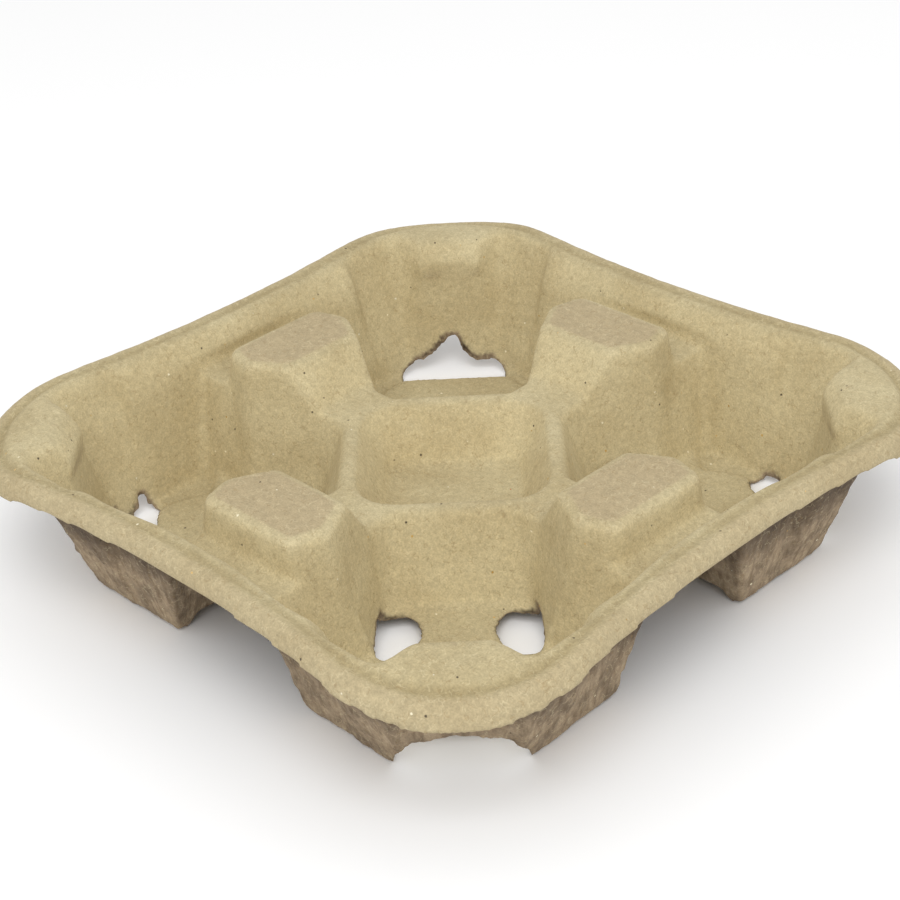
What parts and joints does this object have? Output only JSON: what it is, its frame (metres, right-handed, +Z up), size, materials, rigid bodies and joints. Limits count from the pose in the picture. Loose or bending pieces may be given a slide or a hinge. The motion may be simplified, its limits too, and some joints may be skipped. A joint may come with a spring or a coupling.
{
  "type": "disposable cup carrier tray",
  "caption": "Square moulded pulp drink tray with round cup wells, hollow posts, a sunken middle hub and a drooping rolled rim.",
  "frame": {"origin": "centre of the tray's footprint, on the ground under its feet", "axes": "+Z up, +X and +Y along the tray's sides; the tray turned by a quarter about Z looks the same"},
  "size_m": [0.2144, 0.2144, 0.046],
  "materials": {
    "pulp": "matte, fibrous moulded paper pulp"
  },
  "bodies": {
    "root": {"tray": "pulp"}
  },
  "joints": []
}
